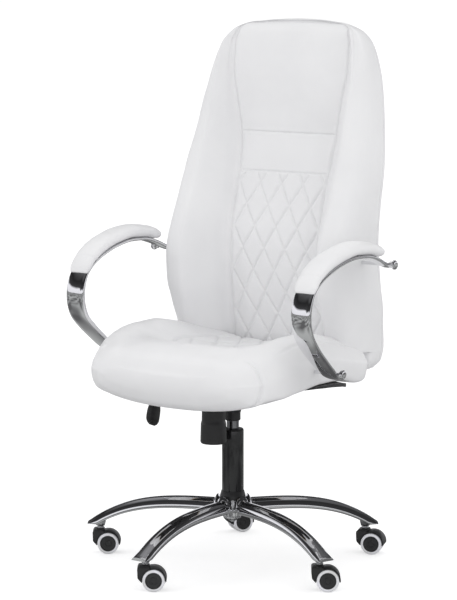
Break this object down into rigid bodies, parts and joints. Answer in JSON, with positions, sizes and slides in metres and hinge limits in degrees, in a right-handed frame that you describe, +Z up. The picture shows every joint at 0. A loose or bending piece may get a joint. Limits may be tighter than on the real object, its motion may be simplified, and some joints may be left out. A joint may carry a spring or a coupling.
{
  "type": "high-back executive swivel chair",
  "caption": "High-back padded swivel armchair with loop arms, quilted panels, a gas height lift, sprung tilt and a caster base.",
  "frame": {"origin": "on the floor, under the middle of the whole chair's bounding box", "axes": "+Z up, the sitter faces -Y, the sitter's left is +X"},
  "size_m": [0.7039, 0.668, 1.2355],
  "materials": {
    "white_leatherette": "smooth white coated cloth over foam, satin",
    "chrome": "polished plate",
    "dark_chrome": "ground and plated dark",
    "black_gloss": "gloss black enamel",
    "black_plastic": "moulded, fine satin",
    "black_steel": "satin black powder coat",
    "bright_steel": "zinc plated",
    "wheel_tread": "light grey tread over a dark hub disc",
    "black_cloth": "non-woven dust cloth on a stiff liner",
    "plywood": "raw birch plywood"
  },
  "bodies": {
    "base": {"hub_sleeve": "chrome", "column_foot_ring": "black_plastic", "lift_outer_tube": "black_gloss", "lift_guide_bush": "black_plastic", "lift_rod": "bright_steel", "lift_retaining_clip": "bright_steel", "leg_front": "chrome", "leg_front_left": "chrome", "leg_rear_left": "chrome", "leg_rear_right": "chrome", "leg_front_right": "chrome", "caster_stem_front": "bright_steel", "caster_stem_front_left": "bright_steel", "caster_stem_rear_left": "bright_steel", "caster_stem_rear_right": "bright_steel", "caster_stem_front_right": "bright_steel"},
    "lift": {"lift_cylinder": "dark_chrome"},
    "mechanism": {"tilt_tray": "black_steel", "tilt_pin": "bright_steel", "tension_spring": "bright_steel"},
    "tension_knob": {"tension_knob": "black_plastic"},
    "lever_bush": {"lever_bush": "black_plastic"},
    "lever": {"lever_rod": "black_steel", "lever_paddle": "black_plastic"},
    "seat": {"seat_plate": "black_steel", "seat_board": "plywood", "seat_under_cover": "black_cloth", "seat_cushion": "white_leatherette", "back_bracket": "black_steel", "back_board": "plywood", "back_cushion": "white_leatherette", "back_rear_panel": "white_leatherette", "arm_left": "chrome", "arm_right": "chrome", "arm_pad_left": "white_leatherette", "arm_pad_right": "white_leatherette", "arm_bolt_front_left": "chrome", "arm_bolt_front_right": "chrome", "arm_bolt_rear_left": "chrome", "arm_bolt_rear_right": "chrome"},
    "caster_front": {"caster_hood_front": "black_plastic", "caster_axle_front": "bright_steel"},
    "wheel_a_front": {"wheel_a_front": "wheel_tread"},
    "wheel_b_front": {"wheel_b_front": "wheel_tread"},
    "caster_front_left": {"caster_hood_front_left": "black_plastic", "caster_axle_front_left": "bright_steel"},
    "wheel_a_front_left": {"wheel_a_front_left": "wheel_tread"},
    "wheel_b_front_left": {"wheel_b_front_left": "wheel_tread"},
    "caster_rear_left": {"caster_hood_rear_left": "black_plastic", "caster_axle_rear_left": "bright_steel"},
    "wheel_a_rear_left": {"wheel_a_rear_left": "wheel_tread"},
    "wheel_b_rear_left": {"wheel_b_rear_left": "wheel_tread"},
    "caster_rear_right": {"caster_hood_rear_right": "black_plastic", "caster_axle_rear_right": "bright_steel"},
    "wheel_a_rear_right": {"wheel_a_rear_right": "wheel_tread"},
    "wheel_b_rear_right": {"wheel_b_rear_right": "wheel_tread"},
    "caster_front_right": {"caster_hood_front_right": "black_plastic", "caster_axle_front_right": "bright_steel"},
    "wheel_a_front_right": {"wheel_a_front_right": "wheel_tread"},
    "wheel_b_front_right": {"wheel_b_front_right": "wheel_tread"}
  },
  "joints": [
    {"name": "seat_height", "type": "slide", "parent": "base", "child": "lift", "axis": [0, 0, 1], "range_m": [-0.018, 0.082]},
    {"name": "seat_swivel", "type": "hinge", "parent": "lift", "child": "mechanism", "pos_m": [-0.008, 0.0198, 0.36], "axis": [0, 0, 1], "continuous": true},
    {"name": "tension_turn", "type": "hinge", "parent": "mechanism", "child": "tension_knob", "pos_m": [-0.008, -0.0542, 0.33], "axis": [0, 0, 1], "range_deg": [-720, 720]},
    {"name": "lever_lift", "type": "hinge", "parent": "mechanism", "child": "lever_bush", "pos_m": [-0.06, 0.0158, 0.3945], "axis": [0, 1, 0], "range_deg": [0, 7], "stiffness_Nm_per_rad": 2, "springref_deg": -14.32},
    {"name": "lever_pull", "type": "slide", "parent": "lever_bush", "child": "lever", "axis": [-1, 0, 0], "range_m": [0, 0.012]},
    {"name": "seat_tilt", "type": "hinge", "parent": "mechanism", "child": "seat", "pos_m": [-0.008, -0.0202, 0.4035], "axis": [-1, 0, 0], "range_deg": [0, 14], "stiffness_Nm_per_rad": 200, "springref_deg": -20.05},
    {"name": "caster_swivel_front", "type": "hinge", "parent": "base", "child": "caster_front", "pos_m": [-0.008, -0.3052, 0.05], "axis": [0, 0, 1], "continuous": true},
    {"name": "wheel_spin_a_front", "type": "hinge", "parent": "caster_front", "child": "wheel_a_front", "pos_m": [0.00656, -0.29462, 0.025], "axis": [-0.5878, 0.809, 0], "continuous": true},
    {"name": "wheel_spin_b_front", "type": "hinge", "parent": "caster_front", "child": "wheel_b_front", "pos_m": [0.00656, -0.29462, 0.025], "axis": [-0.5878, 0.809, 0], "continuous": true},
    {"name": "caster_swivel_front_left", "type": "hinge", "parent": "base", "child": "caster_front_left", "pos_m": [0.30109, -0.08063, 0.05], "axis": [0, 0, 1], "continuous": true},
    {"name": "wheel_spin_a_front_left", "type": "hinge", "parent": "caster_front_left", "child": "wheel_a_front_left", "pos_m": [0.31566, -0.07005, 0.025], "axis": [-0.5878, 0.809, 0], "continuous": true},
    {"name": "wheel_spin_b_front_left", "type": "hinge", "parent": "caster_front_left", "child": "wheel_b_front_left", "pos_m": [0.31566, -0.07005, 0.025], "axis": [-0.5878, 0.809, 0], "continuous": true},
    {"name": "caster_swivel_rear_left", "type": "hinge", "parent": "base", "child": "caster_rear_left", "pos_m": [0.18303, 0.28273, 0.05], "axis": [0, 0, 1], "continuous": true},
    {"name": "wheel_spin_a_rear_left", "type": "hinge", "parent": "caster_rear_left", "child": "wheel_a_rear_left", "pos_m": [0.19972, 0.28947, 0.025], "axis": [-0.3746, 0.9272, 0], "continuous": true},
    {"name": "wheel_spin_b_rear_left", "type": "hinge", "parent": "caster_rear_left", "child": "wheel_b_rear_left", "pos_m": [0.19972, 0.28947, 0.025], "axis": [-0.3746, 0.9272, 0], "continuous": true},
    {"name": "caster_swivel_rear_right", "type": "hinge", "parent": "base", "child": "caster_rear_right", "pos_m": [-0.19903, 0.28273, 0.05], "axis": [0, 0, 1], "continuous": true},
    {"name": "wheel_spin_a_rear_right", "type": "hinge", "parent": "caster_rear_right", "child": "wheel_a_rear_right", "pos_m": [-0.18949, 0.298, 0.025], "axis": [-0.848, 0.5299, 0], "continuous": true},
    {"name": "wheel_spin_b_rear_right", "type": "hinge", "parent": "caster_rear_right", "child": "wheel_b_rear_right", "pos_m": [-0.18949, 0.298, 0.025], "axis": [-0.848, 0.5299, 0], "continuous": true},
    {"name": "caster_swivel_front_right", "type": "hinge", "parent": "base", "child": "caster_front_right", "pos_m": [-0.31709, -0.08063, 0.05], "axis": [0, 0, 1], "continuous": true},
    {"name": "wheel_spin_a_front_right", "type": "hinge", "parent": "caster_front_right", "child": "wheel_a_front_right", "pos_m": [-0.30253, -0.07005, 0.025], "axis": [-0.5878, 0.809, 0], "continuous": true},
    {"name": "wheel_spin_b_front_right", "type": "hinge", "parent": "caster_front_right", "child": "wheel_b_front_right", "pos_m": [-0.30253, -0.07005, 0.025], "axis": [-0.5878, 0.809, 0], "continuous": true}
  ]
}
